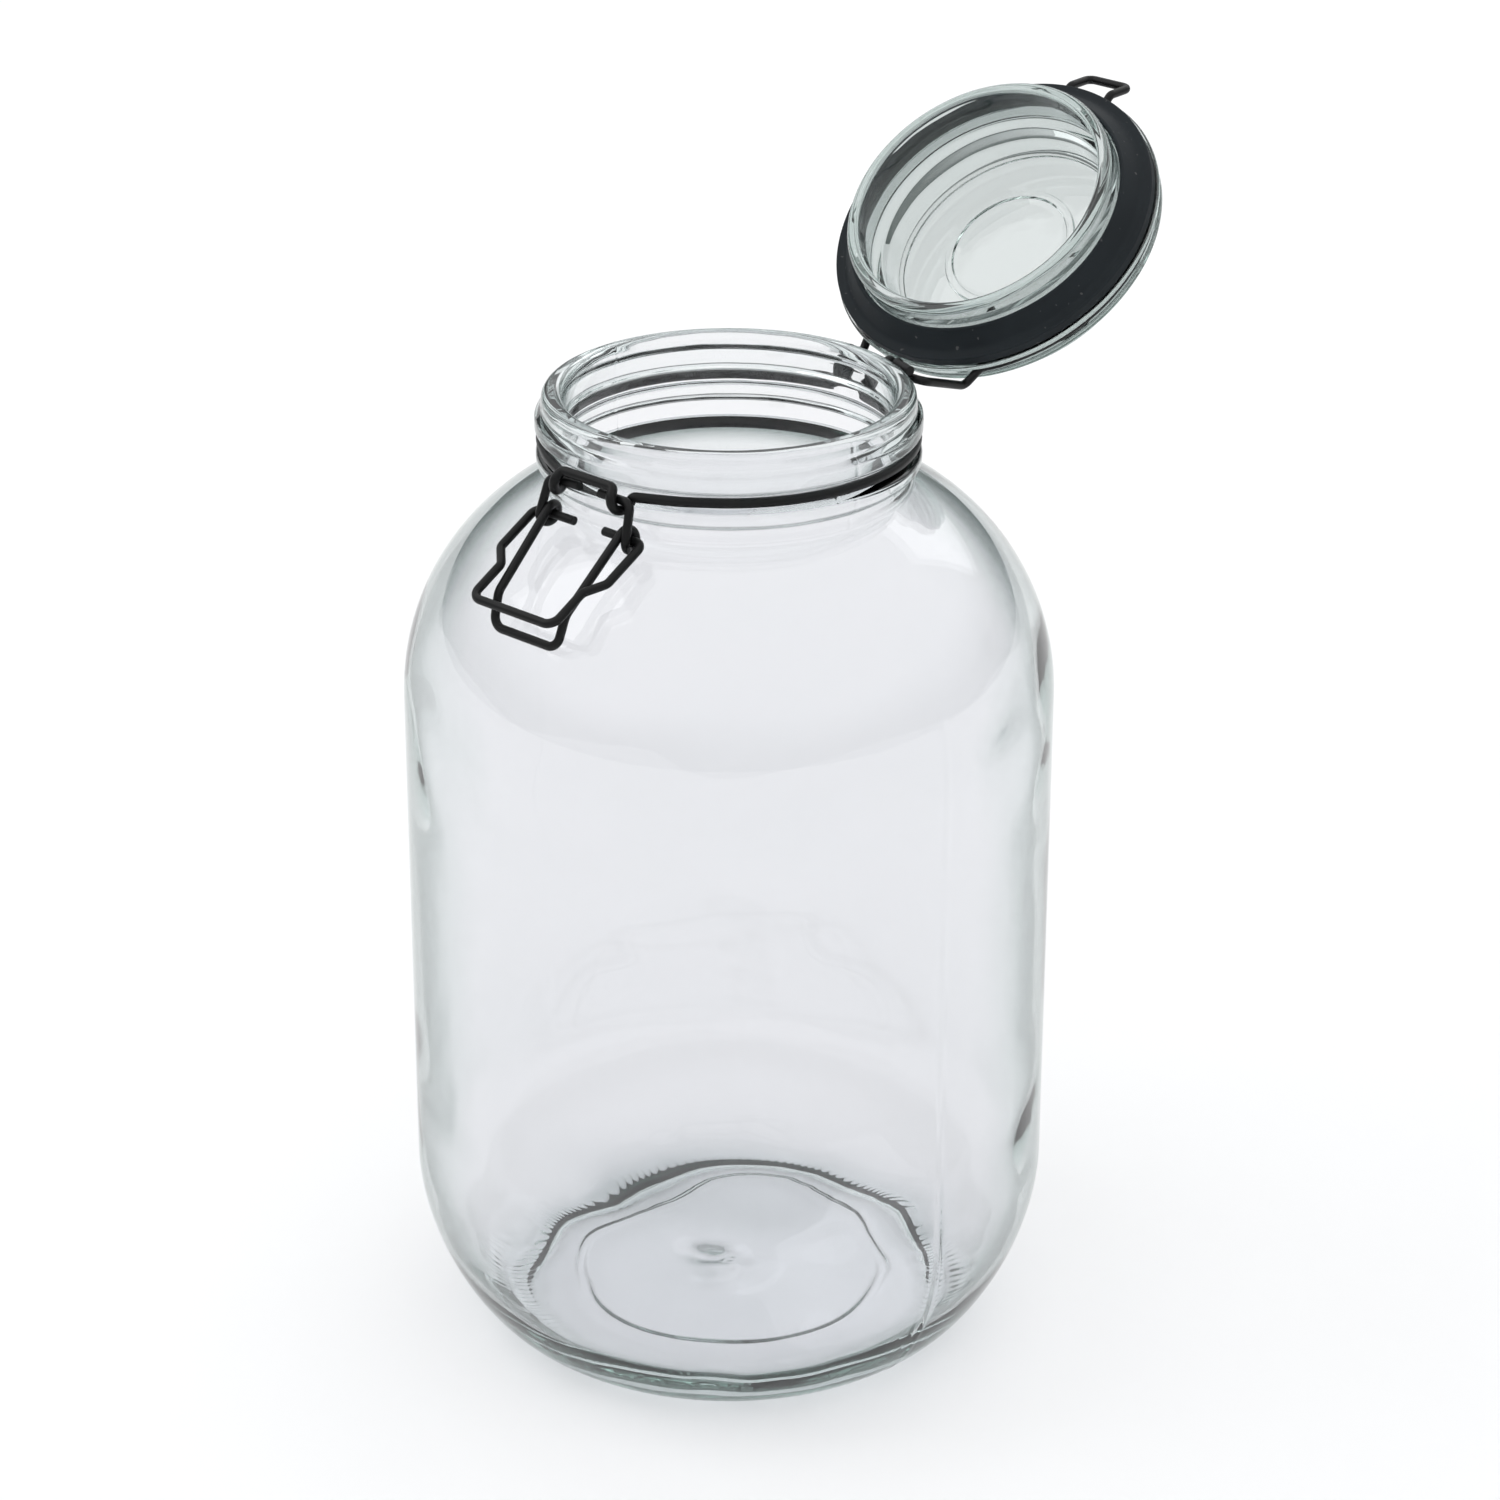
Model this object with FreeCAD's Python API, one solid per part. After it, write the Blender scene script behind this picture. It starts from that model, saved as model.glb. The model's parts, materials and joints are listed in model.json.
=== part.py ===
import FreeCAD, Part
import math
import os

# Five-litre clip-top storage jar: a glass body, a hinged glass lid with a rubber sealing ring, and four
# bent wires (neck wire, lid hoop, lever and bail) that make the hinge and the over-centre clamp.
# Frame: origin on the table under the jar's axis, +Z up, -Y is the clamp side, +Y is the hinge side.
# The lid is drawn closed and then swung open about the hinge. All sizes are in millimetres.

V = FreeCAD.Vector

# --- driving dimensions --------------------------------------------------------------------------
BODY_R = 88.0            # outside radius of the straight wall
RIM_Z = 272.5            # sealing face of the mouth
MOUTH_R = 43.8           # inside radius of the mouth
RIM_R = 49.6             # outside radius of the rim
WALL = 3.6               # glass thickness of the body

FOOT_R = 61.6            # outer edge of the ring that the jar stands on
FOOT_W = 3.1
HEEL_H = 48.8            # height of the rounded heel
SHOULDER_Z = 187.4       # where the shoulder begins
SHOULDER_C = 21.8        # radius at which the shoulder ellipse has its centre
SHOULDER_B = 65.5        # height of the shoulder ellipse
NECK_R = 48.6            # neck between the shoulder and the lower bead
LOW_BEAD_R, HIGH_BEAD_R = 51.2, 51.4

WIRE_D = 2.4             # lever, bail and lid hoop
NECK_WIRE_D = 2.7        # neck wire
PIN_GAP = 0.2            # radial play of a wire pin in a wire eye

RING_R, RING_Z = 49.6, 259.6      # neck wire in its groove

LEVER_AXIS = (53.2, 259.4)        # outward distance and height of the lever's pivot
BAIL_AXIS = (53.6, 249.5)         # the bail's pivot, in the lever's coils
LEVER_BEND = (75.1, 234.6)        # where the lever's handle turns down
LEVER_TIP = (77.8, 226.1)
BAIL_L = 32.4                     # bail pivot to its cross bar
BAIL_REST = -27.0                 # hanging bail, degrees above the horizontal

HINGE_Y, HINGE_Z = 57.9, 263.3    # lid hinge axis
OPEN_DEG = 140.6                  # lid's opening
SEAL_Z = RIM_Z + 0.3              # lower face of the sealing ring, lid closed
SEAL_T = 3.0
SEAL_R, SEAL_HOLE_R = 47.2, 39.7
SEAL_DISH = 6.0                   # the stretched ring's inner edge is pulled this far down the spigot
PLUG_R = 39.4                     # lid's spigot, inside the mouth
HOOP_R, HOOP_Z = 45.6, 279.0      # lid hoop in its groove

COIL_R = WIRE_D / 2 + WIRE_D / 2 + PIN_GAP          # lever's coil round the bail's pin
EYE_R = NECK_WIRE_D / 2 + WIRE_D / 2 + PIN_GAP      # neck wire's eyes round a pin


# --- helpers -------------------------------------------------------------------------------------
def rounded(points, radii):
    """Edges along a polyline whose inner corners are replaced by tangent arcs. An arc takes at most
    half of each run beside it, so a radius is the largest that its corner may have."""
    points = [V(*p) for p in points]
    edges, at = [], points[0]
    for before, corner, after, radius in zip(points, points[1:], points[2:], radii):
        a, b = (before - corner).normalize(), (after - corner).normalize()
        turn = math.pi - a.getAngle(b)
        if turn < 1e-4:
            continue
        shorter = min((before - corner).Length, (after - corner).Length)
        cut = min(radius * math.tan(turn / 2), 0.495 * shorter)
        radius = cut / math.tan(turn / 2)
        start, end = corner + a * cut, corner + b * cut
        middle = corner + (a + b).normalize() * (radius / math.cos(turn / 2) - radius)
        if (start - at).Length > 1e-5:
            edges.append(Part.LineSegment(at, start).toShape())
        edges.append(Part.Arc(start, middle, end).toShape())
        at = end
    if (points[-1] - at).Length > 1e-5:
        edges.append(Part.LineSegment(at, points[-1]).toShape())
    return edges


def bent_wire(points, radii, diameter):
    """A round wire bent along a polyline, as one solid."""
    spine = Part.Wire(rounded(points, radii))
    start = V(*points[0])
    ring = Part.Wire(Part.Circle(start, V(*points[1]) - start, diameter / 2).toShape())
    rod = spine.makePipeShell([ring], True, False)
    print("   wire", round(spine.Length, 1), "mm long")
    return rod


def corners_of_turn(centre, radius, start_deg, sweep_deg, x_from, x_to):
    """Corners of a polygon that a wire follows round an axis along X. Angles are measured from
    outward (-Y) towards up, and the polygon touches the circle at both ends of the sweep."""
    count = max(1, math.ceil(abs(sweep_deg) / 45))
    step = sweep_deg / count
    reach = radius / math.cos(math.radians(step / 2))
    out = []
    for n in range(count):
        angle = math.radians(start_deg + step * (n + 0.5))
        x = x_from + (x_to - x_from) * (n + 0.5) / count
        out.append((x, -centre[0] - reach * math.cos(angle), centre[1] + reach * math.sin(angle)))
    return out


def mirrored(points):
    return [(-x, y, z) for x, y, z in reversed(points)]


def symmetric_wire(half, radii, diameter):
    """A wire that is the same on both sides of the plane X = 0. half runs from its free end to the
    middle, and radii has one value for each of its corners."""
    return bent_wire(half + mirrored(half), radii + radii[::-1], diameter)


def turned(edges):
    """The solid that an outline in the XZ plane makes when it is turned about Z."""
    face = Part.Face(Part.Wire(Part.__sortEdges__(edges)))
    return Part.makeSolid(face.revolve(V(0, 0, 0), V(0, 0, 1), 360))


def outline(points, radii):
    return rounded([(r, 0, z) for r, z in points], radii)


def line(a, b):
    return Part.LineSegment(V(a[0], 0, a[1]), V(b[0], 0, b[1])).toShape()


def curve(*poles):
    c = Part.BezierCurve()
    c.setPoles([V(r, 0, z) for r, z in poles])
    return c.toShape()


def on_shoulder(thickness, radius):
    """Height of the shoulder at a radius, for the surface that lies this far inside the outer one."""
    reach = BODY_R - SHOULDER_C - thickness
    return SHOULDER_Z + (SHOULDER_B - thickness) * math.sqrt(1 - ((radius - SHOULDER_C) / reach) ** 2)


def shoulder(thickness, radius):
    """The shoulder's quarter ellipse, from the wall up to a radius."""
    reach, height = BODY_R - SHOULDER_C - thickness, SHOULDER_B - thickness
    long_axis, short_axis = max(reach, height), min(reach, height)
    across = V(1, 0, 0) if reach >= height else V(0, 0, 1)
    up = V(0, 0, 1) if reach >= height else V(-1, 0, 0)
    centre = V(SHOULDER_C, 0, SHOULDER_Z)
    ellipse = Part.Ellipse(centre + across * long_axis, centre + up * short_axis, centre)
    top = V(radius, 0, on_shoulder(thickness, radius))
    return ellipse.toShape(ellipse.parameter(centre + V(reach, 0, 0)), ellipse.parameter(top))


def opened(shape):
    """Swing a closed lid part open about the hinge."""
    shape = shape.copy()
    shape.rotate(V(0, HINGE_Y, HINGE_Z), V(1, 0, 0), -OPEN_DEG)
    return shape


def polar(centre, length, degrees):
    """A point in the clamp's plane: outward distance and height."""
    return (centre[0] + length * math.cos(math.radians(degrees)),
            centre[1] + length * math.sin(math.radians(degrees)))


def heading(a, b):
    return math.degrees(math.atan2(b[1] - a[1], b[0] - a[0]))


# --- glass ---------------------------------------------------------------------------------------
def make_jar():
    inner_r = BODY_R - WALL
    join_out, join_in = NECK_R + 1.9, MOUTH_R + 1.2
    join_z, join_in_z = on_shoulder(0, join_out), on_shoulder(WALL, join_in)
    neck = [
        (join_out, join_z), (NECK_R, join_z + 0.9),
        (NECK_R, 251.9), (LOW_BEAD_R, 253.3), (LOW_BEAD_R, 256.5), (47.95, 257.9),
        (47.95, 261.3), (HIGH_BEAD_R, 262.0), (HIGH_BEAD_R, 266.0), (RIM_R, 268.2),
        (RIM_R, RIM_Z), (MOUTH_R, RIM_Z), (MOUTH_R, 260.5), (join_in, 255.0), (join_in, join_in_z),
    ]
    bends = [1.5, 1.2, 1.6, 1.4, 1.2, 1.2, 1.4, 1.6, 2.0, 2.1, 2.5, 4.0, 4.0]
    dome = 4.5                                   # the underside is pushed up in the middle
    return turned([
        line((0, dome), (0, dome + 6.5)),
        curve((0, dome + 6.5), (30, dome + 6.5), (45, 7.4), (60, 7.4)),
        curve((60, 7.4), (72, 7.4), (inner_r, 27), (inner_r, HEEL_H)),
        line((inner_r, HEEL_H), (inner_r, SHOULDER_Z)),
        shoulder(WALL, join_in),
        *outline(neck, bends),
        shoulder(0, join_out),
        line((BODY_R, SHOULDER_Z), (BODY_R, HEEL_H)),
        curve((BODY_R, HEEL_H), (BODY_R, 25.4), (70.8, 0), (FOOT_R, 0)),
        line((FOOT_R, 0), (FOOT_R - FOOT_W, 0)),
        curve((FOOT_R - FOOT_W, 0), (54.0, 2.6), (46.0, dome), (0, dome)),
    ])


def make_lid_glass():
    seat = SEAL_Z + SEAL_T + 0.1                 # the sealing ring lies against this flange
    foot = RIM_Z - 11.0                          # lower end of the spigot
    ceiling, top = 286.2, 291.2
    groove_r = HOOP_R - WIRE_D / 2 - 0.1
    profile = [
        (0, ceiling), (24.0, ceiling), (24.2, ceiling - 0.6), (25.4, ceiling - 0.6), (25.6, ceiling),
        (33.6, ceiling), (34.8, 277.0), (37.2, 275.6), (37.2, 268.6), (35.6, 267.2), (35.6, foot),
        (PLUG_R, foot), (PLUG_R, seat), (48.1, seat), (48.1, 277.4), (groove_r, 277.7),
        (groove_r, 280.3), (47.0, 280.6), (47.0, 282.4), (41.0, 285.2), (39.6, top),
        (34.0, top), (33.2, top - 1.0), (0, top - 1.0), (0, ceiling),
    ]
    bends = [0.15, 0.15, 0.15, 0.15, 1.8, 1.0, 1.0, 0.8, 0.6, 1.2,
             2.5, 0.3, 0.6, 0.5, 1.1, 1.1, 0.7, 1.2, 2.6, 2.4,
             0.6, 0.6, 0]
    return turned(outline(profile[:-1], bends[:-1]) + [line(profile[-2], profile[-1])])


def make_gasket():
    """Flat under the rim's edge, and dished where it is stretched over the spigot."""
    top, start = SEAL_Z + SEAL_T, (SEAL_R - 0.9, SEAL_Z)
    return turned(outline(
        [start, (SEAL_R, SEAL_Z), (SEAL_R, top), (SEAL_HOLE_R + 2.9, top),
         (SEAL_HOLE_R, top - SEAL_DISH + 0.8), (SEAL_HOLE_R, SEAL_Z - SEAL_DISH),
         (SEAL_HOLE_R + 4.7, SEAL_Z), start], [0.5, 0.5, 2.0, 0.4, 0.6, 2.6]))


# --- wires ---------------------------------------------------------------------------------------
def ring_points(radius, height, start_deg, end_deg):
    """Corners of a polygon round a circle about Z. Angles are measured from -Y towards +X."""
    count = math.ceil(abs(end_deg - start_deg) / 20)
    step = (end_deg - start_deg) / count
    reach = radius / math.cos(math.radians(step / 2))
    angles = [math.radians(start_deg + step * (n + 0.5)) for n in range(count)]
    return [(reach * math.sin(a), -reach * math.cos(a), height) for a in angles]


def make_neck_wire():
    """One wire: an eye round the hinge bar, the ring in the groove, an eye for the lever's pin, the
    front bar, and the same again on the other side."""
    hinge = (-HINGE_Y, HINGE_Z)
    # hinge eye, from its free tail on top of the bar: one and a half turns down to the bar's underside
    eye = corners_of_turn(hinge, EYE_R, 90, 540, 8.6, 4.4)
    hinge_eye = [(15.4, HINGE_Y - 2.0, HINGE_Z + EYE_R), (8.9, HINGE_Y, HINGE_Z + EYE_R)] + eye
    leaving = [(4.4, HINGE_Y - 3.4, HINGE_Z - EYE_R), (5.5, 50.4, RING_Z)]
    ring = ring_points(RING_R, RING_Z, 163, 19)
    front = corners_of_turn(LEVER_AXIS, EYE_R, 200, 205, 11.8, 9.6)
    arriving = [(12.4, -LEVER_AXIS[0] + EYE_R, RING_Z + 0.2)]
    bar = [(9.0, -LEVER_AXIS[0] - 0.8, LEVER_AXIS[1] + EYE_R + 0.4)]
    half = hinge_eye + leaving + ring + arriving + front + bar
    radii = ([1.3] + [EYE_R] * len(eye) + [3.0, 2.2] + [RING_R] * len(ring)
             + [1.4] + [EYE_R] * len(front) + [1.5])
    return symmetric_wire(half, radii, NECK_WIRE_D)


def make_hoop():
    """Lid hoop, closed lid: round the groove, out to a raised catch in front, and back and down to
    the hinge bar behind. Its ends butt in the middle of the hinge bar."""
    bar_x, catch_x = 18.4, 7.0
    leave_rear = 180 - math.degrees(math.asin(20.0 / HOOP_R))
    leave_front = math.degrees(math.asin(8.8 / HOOP_R))
    half = [
        (0.1, HINGE_Y, HINGE_Z), (bar_x, HINGE_Y, HINGE_Z), (bar_x, 48.2, HOOP_Z),
        (bar_x + 1.6, 41.6, HOOP_Z), *ring_points(HOOP_R, HOOP_Z, leave_rear, leave_front),
        (catch_x, -45.4, HOOP_Z), (catch_x, -50.8, HOOP_Z), (catch_x, -57.5, 284.4),
    ]
    ring_count = len(half) - 7
    radii = [2.4, 3.0, 2.4] + [HOOP_R] * ring_count + [2.0, 2.4, 2.2]
    return bent_wire(half + mirrored(half), radii + radii[::-1], WIRE_D)


def make_lever():
    """Lever: a pin in each neck eye, struts down to the coils that carry the bail, and a handle."""
    towards_bail = heading(LEVER_AXIS, BAIL_AXIS)
    apart = math.dist(LEVER_AXIS, BAIL_AXIS)
    strut = towards_bail + math.degrees(math.asin(COIL_R / apart))
    to_bend = math.dist(BAIL_AXIS, LEVER_BEND)
    arm = heading(BAIL_AXIS, LEVER_BEND) - math.degrees(math.asin(COIL_R / to_bend))
    # the wire runs down the outer side of the coil, under the pin, up, and away over the top
    coil = corners_of_turn(BAIL_AXIS, COIL_R, strut + 90, -(strut - arm + 360) % -360, 15.4, 12.8)
    half = [
        (3.5, -LEVER_AXIS[0], LEVER_AXIS[1]), (14.2, -LEVER_AXIS[0], LEVER_AXIS[1]), *coil,
        (11.9, -LEVER_BEND[0], LEVER_BEND[1]), (11.2, -LEVER_TIP[0], LEVER_TIP[1]),
    ]
    radii = [2.4] + [COIL_R] * len(coil) + [5.0, 3.4]
    return symmetric_wire(half, radii, WIRE_D)


def make_bail():
    """Bail: a pin in each of the lever's coils, wide arms, a step inwards and a cross bar."""
    wide, narrow = 18.9, 14.4
    along = [polar(BAIL_AXIS, s, BAIL_REST) for s in (0, 15.0, 20.0, BAIL_L)]
    half = [
        (5.3, -along[0][0], along[0][1]), (wide, -along[0][0], along[0][1]),
        (wide, -along[1][0], along[1][1]), (narrow, -along[2][0], along[2][1]),
        (narrow, -along[3][0], along[3][1]),
    ]
    return symmetric_wire(half, [2.4, 2.6, 2.6, 3.2], WIRE_D)


# --- assembly ------------------------------------------------------------------------------------
def main():
    os.makedirs("parts", exist_ok=True)
    parts = {
        "jar_body": make_jar(),
        "lid_glass": opened(make_lid_glass()),
        "gasket": opened(make_gasket()),
        "neck_wire": make_neck_wire(),
        "lid_hoop": opened(make_hoop()),
        "lever": make_lever(),
        "bail": make_bail(),
    }
    for name, shape in parts.items():
        shape.exportStep("parts/" + name + ".step")
        print(name, shape.ShapeType, shape.isValid(), round(shape.Volume / 1000, 2), "cm3",
              len(shape.Faces), "faces")


main()
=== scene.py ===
import json
import math
import bpy
from mathutils import Matrix, Vector, noise


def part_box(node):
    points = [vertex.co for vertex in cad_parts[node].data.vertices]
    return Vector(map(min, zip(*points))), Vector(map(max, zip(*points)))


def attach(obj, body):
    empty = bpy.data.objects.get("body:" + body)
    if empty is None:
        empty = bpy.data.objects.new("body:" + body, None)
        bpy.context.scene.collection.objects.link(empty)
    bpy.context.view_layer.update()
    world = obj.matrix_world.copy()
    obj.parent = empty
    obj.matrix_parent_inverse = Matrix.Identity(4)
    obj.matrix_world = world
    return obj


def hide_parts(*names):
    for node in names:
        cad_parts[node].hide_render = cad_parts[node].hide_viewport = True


# Looks for the bail clamp jar: pressed glass jar and lid, moulded rubber ring and black coated wire.
# Profiles are in millimetres, in the jar's own frame, with the lid closed. Meshes are in metres.

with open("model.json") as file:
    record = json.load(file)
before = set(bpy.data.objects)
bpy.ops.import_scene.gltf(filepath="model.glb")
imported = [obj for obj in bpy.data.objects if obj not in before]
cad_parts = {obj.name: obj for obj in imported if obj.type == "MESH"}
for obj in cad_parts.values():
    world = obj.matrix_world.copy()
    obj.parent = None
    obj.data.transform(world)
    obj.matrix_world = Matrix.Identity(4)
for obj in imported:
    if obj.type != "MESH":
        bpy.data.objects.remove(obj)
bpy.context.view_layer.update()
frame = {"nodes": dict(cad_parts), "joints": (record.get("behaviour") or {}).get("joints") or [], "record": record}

MM = 0.001
scene = bpy.context.scene

# --- sizes read from the frame -------------------------------------------------------------------
jar_low, jar_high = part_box("jar_body")
BODY_R = jar_high[0] / MM
RIM_Z = jar_high[2] / MM
lid_joint = next(j for j in frame["joints"] if j["name"] == "lid_hinge")
HINGE = Vector(lid_joint["pos_m"])
OPENING = math.radians(lid_joint["range_deg"][1])
MOUTH_R = next(m for m in frame["record"]["mounts"] if m["name"] == "mouth")["dims"]["r_mm"]

# --- sizes of the glass and rubber, in millimetres -------------------------------------------------
WALL = 3.6
FOOT_R, FOOT_W = 61.6, 3.1       # outside radius and width of the ring that the jar stands on
HEEL_H = 48.8
# The shoulder is a quarter ellipse: its foot's height, its centre's radius and its own height.
SHOULDER_Z, SHOULDER_C, SHOULDER_B = 187.4, 21.8, 65.5
NECK_R = 48.6
RIM_R = 49.6
LOW_BEAD_R, HIGH_BEAD_R = 51.2, 51.4
DOME = 4.5                       # push-up of the underside
FLOOR_T = 6.5                    # glass over the middle of the push-up
SEAL_Z, SEAL_T = RIM_Z + 0.3, 3.0
SEAL_R, SEAL_HOLE_R = 47.2, 39.7
SEAL_DISH = 6.0                  # the stretched ring is dished down the spigot
PLUG_R = 39.4
HOOP_GROOVE_R = 44.3

SEGMENTS = 576                   # steps round the jar: four to each knurl of the foot
JAR_STEP = 3.4                   # longest step along the jar's outline
KNURLS = 144
SEAM_AT = math.radians(82)       # mould seams, measured from -Y towards +X, and opposite
SEAM_H = 0.24
SEAM_W = 0.007                   # half width, in radians

NECK_FROM = 252                  # the inside follows the mould above this height
BASE_TO = 30                     # and is the jar's floor below this one
FADE = 25                        # the wall's waves grow in over this height
# The wall is most uneven in two bands: height, width, depth, turns round the jar, noise offset.
BANDS = ((186, 26, 1.3, 3.2, 7), (66, 24, 1.0, 3.0, 3))
# Marks left by the gob of glass in the middle of the floor: height, place, width.
SWIRL = ((-3.0, (-6, -1), 8.0), (1.5, (2, -8), 6.0), (-1.2, (9, -5), 7.5))
PLATE_R = 42.2                   # edge of the mould's plate on the underside
KNURL_R, KNURL_H = 60.6, 0.40
ROW_R, ROW_H = 69.0, 0.35        # second row of knurls, on the heel


# --- profile helpers -----------------------------------------------------------------------------
def rounded(corners, radii, step_deg=9):
    """The polyline with each inner corner replaced by a tangent arc."""
    points = [Vector(corners[0])]
    for before, corner, after, radius in zip(corners, corners[1:], corners[2:], radii):
        before, corner, after = Vector(before), Vector(corner), Vector(after)
        a, b = (before - corner).normalized(), (after - corner).normalized()
        turn = math.pi - a.angle(b)
        room = 0.495 * min((before - corner).length, (after - corner).length)
        cut = min(radius * math.tan(turn / 2), room)
        radius = cut / math.tan(turn / 2)
        centre = corner + (a + b).normalized() * (radius / math.cos(turn / 2))
        start, end = corner + a * cut - centre, corner + b * cut - centre
        count = max(2, math.ceil(math.degrees(turn) / step_deg))
        for n in range(count + 1):
            arm = start.lerp(end, n / count)
            points.append(centre + arm.normalized() * radius)
    return points + [Vector(corners[-1])]


def bezier(a, b, c, d, count=24):
    """Points along the cubic curve from a to d."""
    a, b, c, d = map(Vector, (a, b, c, d))
    out = []
    for n in range(count + 1):
        t = n / count
        out.append(a * (1 - t)**3 + b * 3 * t * (1 - t)**2 + c * 3 * t**2 * (1 - t) + d * t**3)
    return out


def on_shoulder(inset, radius):
    """The shoulder's height at a radius, for the surface that lies inset inside the outer one."""
    reach = BODY_R - SHOULDER_C - inset
    return SHOULDER_Z + (SHOULDER_B - inset) * math.sqrt(1 - ((radius - SHOULDER_C) / reach)**2)


def shoulder(inset, radius, count=30):
    """The shoulder's ellipse from the wall up to a radius."""
    reach, height = BODY_R - SHOULDER_C - inset, SHOULDER_B - inset
    last = math.acos((radius - SHOULDER_C) / reach)
    angles = [last * n / count for n in range(count + 1)]
    return [
        Vector((SHOULDER_C + reach * math.cos(a), SHOULDER_Z + height * math.sin(a))) for a in angles
    ]


def spaced(points, gap):
    """The same line without doubled points, and with no run longer than the gap."""
    out = [points[0]]
    for p in points[1:]:
        run = (p - out[-1]).length
        if run < 1e-4:
            continue
        steps = math.ceil(run / gap)
        start = out[-1].copy()
        out += [start.lerp(p, n / steps) for n in range(1, steps + 1)]
    return out


def bump(x, width):
    """A smooth bump, 1 at x = 0."""
    return math.exp(-(x / width)**2)


def lathe(name, profile, segments, shape=None, closed=False):
    """A closed surface of revolution about Z. shape(index, r, z, angle) may move each point, and
    angle is measured from -Y towards +X. Profile and shape are in millimetres."""
    verts, rows = [], []
    for i, p in enumerate(profile):
        row = []
        steps = 1 if p[0] < 1e-6 else segments
        for j in range(steps):
            angle = 2 * math.pi * j / segments
            r, z = shape(i, p[0], p[1], angle) if shape and p[0] > 1e-6 else (p[0], p[1])
            row.append(len(verts))
            verts.append((r * MM * math.sin(angle), -r * MM * math.cos(angle), z * MM))
        rows.append(row)
    faces = []
    pairs = list(zip(rows, rows[1:])) + ([(rows[-1], rows[0])] if closed else [])
    for low, high in pairs:
        for j in range(segments):
            k = (j + 1) % segments
            ring = [low[j % len(low)], low[k % len(low)], high[k % len(high)], high[j % len(high)]]
            faces.append(list(dict.fromkeys(ring)))
    mesh = bpy.data.meshes.new(name)
    mesh.from_pydata(verts, [], faces)
    mesh.shade_smooth()
    piece = bpy.data.objects.new(name, mesh)
    scene.collection.objects.link(piece)
    return piece


def face_outward(piece):
    """Turns the faces over if the closed mesh is inside out."""
    volume = 0.0
    mesh = piece.data
    for face in mesh.polygons:
        a = mesh.vertices[face.vertices[0]].co
        for i in range(1, len(face.vertices) - 1):
            b, c = mesh.vertices[face.vertices[i]].co, mesh.vertices[face.vertices[i + 1]].co
            volume += a.dot(b.cross(c)) / 6
    if volume < 0:
        mesh.flip_normals()
    return piece


def open_lid(piece):
    """Swings a piece that was made for the closed lid to the rest pose, which is open."""
    swing = Matrix.Translation(HINGE) @ Matrix.Rotation(-OPENING, 4, "X") @ Matrix.Translation(-HINGE)
    piece.data.transform(swing)
    return piece


# --- materials -----------------------------------------------------------------------------------
def new_material(name):
    """The material, its nodes and links, and its shader and output nodes."""
    material = bpy.data.materials.new(name)
    material.use_nodes = True
    nodes, links = material.node_tree.nodes, material.node_tree.links
    return material, nodes, links, nodes["Principled BSDF"], nodes["Material Output"]


def noise_node(nodes, links, scale, detail, stretch=(1, 1, 1)):
    place = nodes.new("ShaderNodeTexCoord")
    mapping = nodes.new("ShaderNodeMapping")
    mapping.inputs["Scale"].default_value = stretch
    texture = nodes.new("ShaderNodeTexNoise")
    texture.inputs["Scale"].default_value = scale
    texture.inputs["Detail"].default_value = detail
    links.new(place.outputs["Object"], mapping.inputs["Vector"])
    links.new(mapping.outputs["Vector"], texture.inputs["Vector"])
    return texture


def add_bump(nodes, links, height, strength, distance, after=None):
    node = nodes.new("ShaderNodeBump")
    node.inputs["Strength"].default_value = strength
    node.inputs["Distance"].default_value = distance
    links.new(height, node.inputs["Height"])
    if after:
        links.new(after.outputs["Normal"], node.inputs["Normal"])
    return node


def ramp(nodes, links, value, stops):
    """A colour ramp driven by the value, with a colour at each position in stops."""
    node = nodes.new("ShaderNodeValToRGB")
    elements = node.color_ramp.elements
    while len(elements) < len(stops):
        elements.new(0.5)
    for element, (at, colour) in zip(elements, stops):
        element.position = at
        element.color = (*colour, 1)
    links.new(value, node.inputs["Fac"])
    return node


def glass(name, ripple, ripple_scale, stretch, clear):
    """Pressed soda-lime glass: slow ripples, fine orange peel, and a faint green in the thick parts.
    clear is its tint seen straight on. Painted shade: the colour is made darker, down to a deep green-grey, where
    the surface turns away, to stand in for the dark edges of thick glass."""
    material, nodes, links, shader, output = new_material(name)
    # Painted shade: the base colour darkens as the surface turns away from the view, giving the glass dark
    # outlines at its edges.
    edge = nodes.new("ShaderNodeLayerWeight")
    colour = ramp(nodes, links, edge.outputs["Facing"], [
        (0.48, clear),
        (0.63, (0.78, 0.805, 0.81)),
        (0.74, (0.44, 0.48, 0.48)),
        (0.85, (0.17, 0.21, 0.205)),
        (1.0, (0.08, 0.11, 0.105)),
    ])
    links.new(colour.outputs["Color"], shader.inputs["Base Color"])
    shader.inputs["Transmission Weight"].default_value = 1.0
    shader.inputs["IOR"].default_value = 1.51
    slow = noise_node(nodes, links, ripple_scale, 1.5, stretch)
    fine = noise_node(nodes, links, 260, 1, (1, 1, 1))
    first = add_bump(nodes, links, slow.outputs["Fac"], 1.0, ripple)
    second = add_bump(nodes, links, fine.outputs["Fac"], 1.0, 0.0000025, first)
    links.new(second.outputs["Normal"], shader.inputs["Normal"])
    smudge = noise_node(nodes, links, 35, 3)
    haze = ramp(nodes, links, smudge.outputs["Fac"], [(0.45, (0.0,) * 3), (0.8, (0.03,) * 3)])
    links.new(haze.outputs["Color"], shader.inputs["Roughness"])
    tint = nodes.new("ShaderNodeVolumeAbsorption")
    tint.inputs["Color"].default_value = (0.0, 0.35, 0.25, 1)
    tint.inputs["Density"].default_value = 8.0
    links.new(tint.outputs["Volume"], output.inputs["Volume"])
    return material


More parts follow.
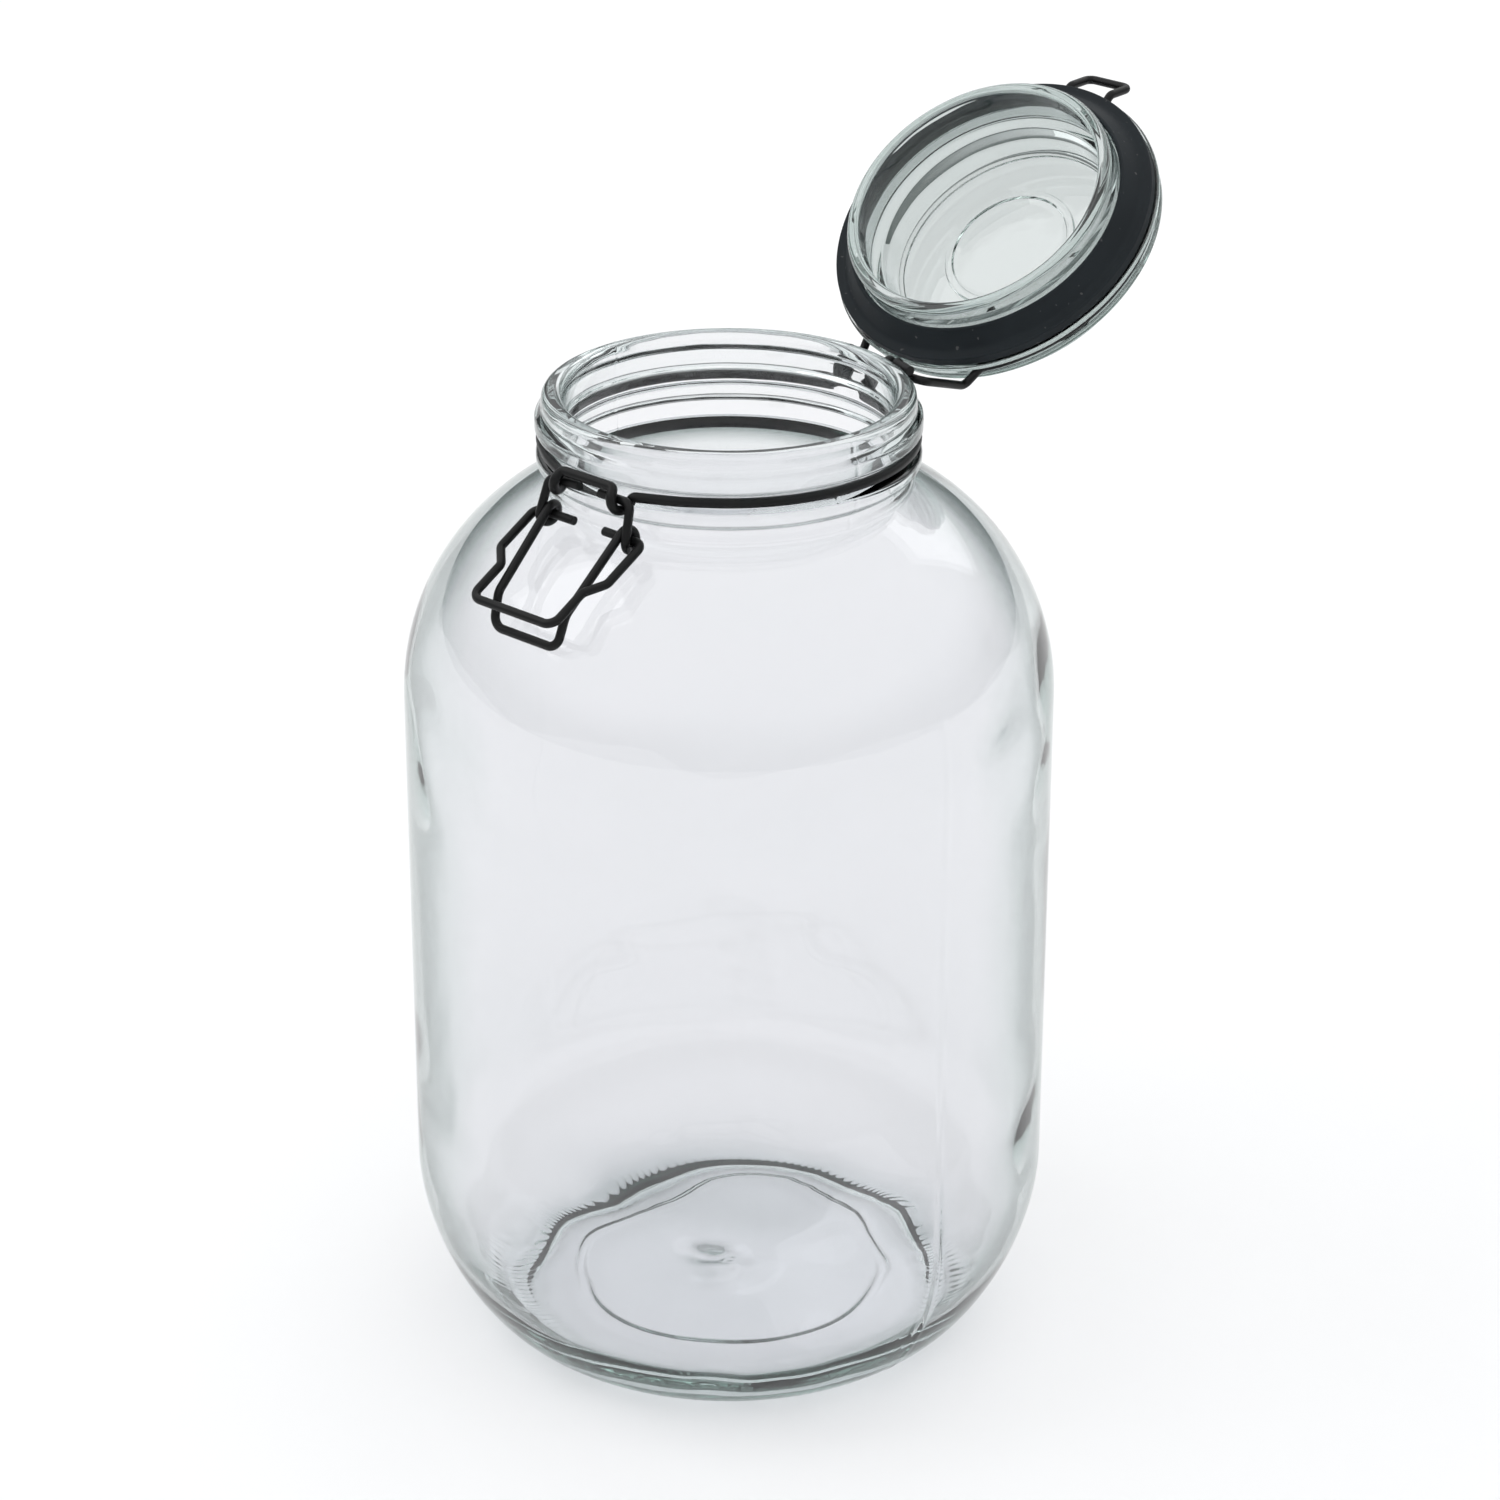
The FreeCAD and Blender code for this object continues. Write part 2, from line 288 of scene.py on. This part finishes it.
def rubber():
    """Matt black moulded rubber with fine turned lines and a few pale specks of dust."""
    material, nodes, links, shader, _ = new_material("seal_rubber")
    grain = noise_node(nodes, links, 900, 4)
    cloud = noise_node(nodes, links, 60, 3)
    dust = noise_node(nodes, links, 700, 0)
    base = ramp(nodes, links, cloud.outputs["Fac"], [
        (0.3, (0.010, 0.0135, 0.0165)),
        (0.75, (0.016, 0.021, 0.0245)),
    ])
    speck = ramp(nodes, links, dust.outputs["Fac"], [(0.80, (0, 0, 0)), (0.83, (0.6,) * 3)])
    mix = nodes.new("ShaderNodeMix")
    mix.data_type = "RGBA"
    mix.inputs["B"].default_value = (0.10, 0.10, 0.10, 1)
    links.new(speck.outputs["Color"], mix.inputs["Factor"])
    links.new(base.outputs["Color"], mix.inputs["A"])
    links.new(mix.outputs["Result"], shader.inputs["Base Color"])
    rough = ramp(nodes, links, cloud.outputs["Fac"], [(0.3, (0.55,) * 3), (0.75, (0.68,) * 3)])
    links.new(rough.outputs["Color"], shader.inputs["Roughness"])
    relief = add_bump(nodes, links, grain.outputs["Fac"], 0.5, 0.00003)
    links.new(relief.outputs["Normal"], shader.inputs["Normal"])
    shader.inputs["Specular IOR Level"].default_value = 0.16
    return material


def coated_wire():
    """Matt black coating on steel wire: fine grain, and slightly polished and greyer in places."""
    material, nodes, links, shader, _ = new_material("black_wire")
    grain = noise_node(nodes, links, 1600, 3)
    wear = noise_node(nodes, links, 140, 4)
    base = ramp(nodes, links, wear.outputs["Fac"], [
        (0.35, (0.0035, 0.0038, 0.004)),
        (0.8, (0.006, 0.006, 0.0065)),
    ])
    rough = ramp(nodes, links, wear.outputs["Fac"], [(0.3, (0.44,) * 3), (0.75, (0.34,) * 3)])
    links.new(base.outputs["Color"], shader.inputs["Base Color"])
    links.new(rough.outputs["Color"], shader.inputs["Roughness"])
    relief = add_bump(nodes, links, grain.outputs["Fac"], 0.35, 0.00002)
    links.new(relief.outputs["Normal"], shader.inputs["Normal"])
    shader.inputs["Specular IOR Level"].default_value = 0.22
    return material


# --- glass jar -----------------------------------------------------------------------------------
def streak(angle, z, turns, rise, offset=0.0):
    """Smooth noise round the jar, from -1 to 1. turns and rise set how fast it changes round and up."""
    return noise.noise(Vector((math.cos(angle) * turns, math.sin(angle) * turns, z * rise + offset)))


def seam(angle):
    """1 on the two mould seams, falling to 0 about a millimetre away."""
    off = (angle - SEAM_AT + math.pi / 2) % math.pi - math.pi / 2
    return bump(off, SEAM_W)


def knurl(angle):
    """From 0 between two knurls to 1 on one."""
    return 0.5 + 0.5 * math.cos(KNURLS * angle)


def make_jar():
    inner_r = BODY_R - WALL
    join_out, join_in = NECK_R + 1.9, MOUTH_R + 1.2
    join_z = on_shoulder(0, join_out)
    inside = (
        [Vector((0, DOME + FLOOR_T))]
        + bezier((0, DOME + FLOOR_T), (30, DOME + FLOOR_T), (45, 7.4), (60, 7.4))
        + bezier((60, 7.4), (72, 7.4), (inner_r, 27), (inner_r, HEEL_H))
        + shoulder(WALL, join_in)
    )
    neck = [
        (join_in, on_shoulder(WALL, join_in)), (join_in, 255.0), (MOUTH_R, 260.5), (MOUTH_R, RIM_Z),
        (RIM_R, RIM_Z), (RIM_R, 268.2), (HIGH_BEAD_R, 266.0), (HIGH_BEAD_R, 262.0), (47.95, 261.3),
        (47.95, 257.9), (LOW_BEAD_R, 256.5), (LOW_BEAD_R, 253.3), (NECK_R, 251.9),
        (NECK_R, join_z + 0.9), (join_out, join_z),
    ]
    neck_bends = [4.0, 4.0, 2.5, 2.1, 2.0, 1.6, 1.4, 1.2, 1.2, 1.4, 1.6, 1.2, 1.5]
    inside = spaced(inside, JAR_STEP)
    outside = spaced(
        rounded(neck, neck_bends)
        + shoulder(0, join_out)[::-1]
        + bezier((BODY_R, SHOULDER_Z), (BODY_R, 140), (BODY_R, 95), (BODY_R, HEEL_H), 3)
        + bezier((BODY_R, HEEL_H), (BODY_R, 25.4), (70.8, 0), (FOOT_R, 0), 40)
        + [Vector((FOOT_R - FOOT_W, 0))]
        + bezier((FOOT_R - FOOT_W, 0), (54.0, 2.6), (46.0, DOME), (0, DOME), 40),
        JAR_STEP,
    )
    profile = inside + outside[1:]
    rim_index = next(i for i, p in enumerate(profile) if p[1] > RIM_Z - 0.01)

    def shape(i, r, z, angle):
        x, y = r * math.sin(angle), -r * math.cos(angle)
        if i < rim_index:                      # inside: formed by air, so uneven
            if z > NECK_FROM:
                r += 0.10 * streak(angle, z, 5.0, 0.5)
            elif z > BASE_TO:
                fade = min(1.0, (z - BASE_TO) / FADE)
                r += fade * (0.45 * streak(angle, z, 1.6, 0.012) - 0.35)
                for height, width, depth, turns, offset in BANDS:
                    r += bump(z - height, width) * depth * streak(angle, z, turns, 0.045, offset)
            else:
                edge = bump(r - 64, 9)         # the line where the floor meets the heel
                z += edge * (1.2 * streak(angle, 0, 2.6, 0, 5) + 0.5 * streak(angle, r, 8, 0.1, 9))
                for height, (at_x, at_y), width in SWIRL:
                    z += height * bump(math.hypot(x - at_x, y - at_y), width)
                z += 0.5 * noise.noise(Vector((x * 0.05, y * 0.05, 1.0))) * bump(r, 45)
            return r, z
        if z > NECK_FROM - 1:                  # outside of the neck
            return r + 0.05 * streak(angle, z, 9, 0.8, 4) - 0.12 + SEAM_H * seam(angle) * 0.6, z
        if r > FOOT_R + 3.5 or z > BASE_TO:    # outside wall, shoulder and heel
            row = bump(r - ROW_R, 1.6) * bump(z, 4)
            return r - SEAM_H + SEAM_H * seam(angle), z + ROW_H * row * knurl(angle)
        if r > FOOT_R - FOOT_W - 2.5:          # knurled foot
            return r, z + KNURL_H * knurl(angle) * bump(r - KNURL_R, 2.0)
        step = 0.9 * bump(r - PLATE_R, 0.8)
        return r, z + step + 0.12 * noise.noise(Vector((x, -y, 0)) * 0.07)

    piece = face_outward(lathe("jar_glass", profile, SEGMENTS, shape))
    piece.data.materials.append(glass("jar_glass", 0.00018, 16, (1, 1, 0.45), (0.915, 0.909, 0.927)))
    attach(piece, "jar")
    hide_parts("jar_body")


# --- lid -----------------------------------------------------------------------------------------
def make_lid():
    seat = SEAL_Z + SEAL_T + 0.1           # underside of the flange, just clear of the ring
    foot = RIM_Z - 11.0                    # lower end of the spigot
    ceiling, top = 286.2, 291.2            # top of the hollow, and of the lid
    corners = [
        (0, ceiling), (17.0, ceiling), (17.4, ceiling - 0.6), (19.2, ceiling - 0.6), (19.6, ceiling),
        (33.6, ceiling), (34.8, 277.0), (37.2, 275.6), (37.2, 268.6), (35.6, 267.2), (35.6, foot),
        (PLUG_R, foot), (PLUG_R, seat), (48.1, seat), (48.1, 277.4), (HOOP_GROOVE_R, 277.7),
        (HOOP_GROOVE_R, 280.3), (47.0, 280.6), (47.0, 282.4), (41.0, 285.2), (39.6, top),
        (34.0, top), (33.2, top - 1.0), (0, top - 1.0),
    ]
    bends = [
        0.15, 0.15, 0.15, 0.15, 1.8, 1.0, 1.0, 0.8, 0.6, 1.2, 2.5,
        0.3, 0.6, 0.5, 1.1, 1.1, 0.7, 1.2, 2.6, 2.4, 0.6, 0.6,
    ]
    profile = spaced(rounded(corners, bends), 2.0)

    def shape(i, r, z, angle):
        off = 0.06 * streak(angle, z, 4, 0.4, 11)
        return (r - 0.05 + off if r > 30 else r), z

    piece = open_lid(face_outward(lathe("lid_glass_disc", profile, 288, shape)))
    # The lid's tint is much darker than the jar's. This is partly the thick disc's own colour and partly painted
    # shade standing in for the reflections that grey the disc.
    piece.data.materials.append(glass("lid_glass", 0.00012, 30, (1, 1, 1), (0.64, 0.67, 0.665)))
    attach(piece, "lid")
    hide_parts("lid_glass")


def make_seal():
    """Rubber ring: flat at its edge, dished where it is stretched over the spigot, with turned lines."""
    low, high = SEAL_Z, SEAL_Z + SEAL_T
    start = (SEAL_R - 0.9, low)
    corners = [start, (SEAL_R, low), (SEAL_R, high), (SEAL_HOLE_R + 2.9, high),
               (SEAL_HOLE_R, high - SEAL_DISH + 0.8), (SEAL_HOLE_R, low - SEAL_DISH),
               (SEAL_HOLE_R + 4.7, low), start]
    profile = spaced(rounded(corners, [0.5, 0.5, 2.0, 0.4, 0.6, 2.6]), 0.22)[:-1]

    def shape(i, r, z, angle):
        line = 0.022 if i % 2 else 0.0         # fine turned lines
        return r - 0.02, z + line + 0.10 * streak(angle, 0, 1.4, 0, 21)

    piece = open_lid(face_outward(lathe("seal_ring", profile, 360, shape, closed=True)))
    piece.data.materials.append(rubber())
    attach(piece, "seal")
    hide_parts("gasket")


def finish_wires():
    """The four wires keep the CAD's own meshes."""
    material = coated_wire()
    for name in ("neck_wire", "lid_hoop", "lever", "bail"):
        mesh = frame["nodes"][name].data
        mesh.materials.clear()
        mesh.materials.append(material)


# --- floor, light and camera ---------------------------------------------------------------------
def make_floor():
    mesh = bpy.data.meshes.new("floor")
    half = 90.0
    corners = [(-half, -half, 0), (half, -half, 0), (half, half, 0), (-half, half, 0)]
    mesh.from_pydata(corners, [], [(0, 1, 2, 3)])
    floor = bpy.data.objects.new("floor", mesh)
    scene.collection.objects.link(floor)
    floor.location.z = -0.0002
    material, _, _, shader, _ = new_material("floor")
    shader.inputs["Base Color"].default_value = (0.93, 0.93, 0.93, 1)
    shader.inputs["Roughness"].default_value = 0.9
    shader.inputs["Specular IOR Level"].default_value = 0.1
    mesh.materials.append(material)


def area_light(name, place, target, width, height, watts):
    light = bpy.data.lights.new(name, "AREA")
    light.shape = "RECTANGLE"
    light.size, light.size_y = width, height
    light.energy = watts
    lamp = bpy.data.objects.new(name, light)
    lamp.location = place
    lamp.rotation_euler = (Vector(target) - Vector(place)).to_track_quat("-Z", "Y").to_euler()
    scene.collection.objects.link(lamp)


def make_light():
    """An even studio: white above, and darker near the horizon so that the glass gets outlines."""
    world = bpy.data.worlds.new("studio")
    scene.world = world
    world.use_nodes = True
    nodes, links = world.node_tree.nodes, world.node_tree.links
    place = nodes.new("ShaderNodeTexCoord")
    split = nodes.new("ShaderNodeSeparateXYZ")
    links.new(place.outputs["Generated"], split.inputs["Vector"])
    sky = ramp(nodes, links, split.outputs["Z"], [
        (0.0, (0.17, 0.188, 0.186)),
        (0.16, (0.24, 0.256, 0.254)),
        (0.42, (0.88, 0.885, 0.90)),
        (1.0, (1.0, 1.0, 1.0)),
    ])
    links.new(sky.outputs["Color"], nodes["Background"].inputs["Color"])
    nodes["Background"].inputs["Strength"].default_value = 1.16
    area_light("key", (-1.5, -1.2, 2.2), (0, 0, 0.12), 1.6, 1.6, 8)
    area_light("back", (-0.6, 2.4, 1.6), (0, 0, 0.15), 2.2, 1.2, 6)


def make_camera():
    azimuth, down = math.radians(42), math.radians(24.634)
    distance, height = 1.11383, 0.67874
    lens = bpy.data.cameras.new("camera")
    lens.sensor_width = 36
    lens.lens = 108
    lens.shift_x = 0.014
    lens.clip_start = 0.01
    camera = bpy.data.objects.new("camera", lens)
    camera.location = (distance * math.sin(azimuth), -distance * math.cos(azimuth), height)
    camera.rotation_euler = (math.pi / 2 - down, 0, azimuth)
    scene.collection.objects.link(camera)
    scene.camera = camera


def set_render():
    scene.view_settings.view_transform = "Standard"
    scene.cycles.max_bounces = 28
    scene.cycles.transmission_bounces = 28
    scene.cycles.glossy_bounces = 10
    scene.cycles.diffuse_bounces = 4
    scene.cycles.transparent_max_bounces = 12
    scene.cycles.sample_clamp_indirect = 6
    scene.cycles.blur_glossy = 0


make_camera()
make_jar()
make_lid()
make_seal()
finish_wires()
make_floor()
make_light()
set_render()
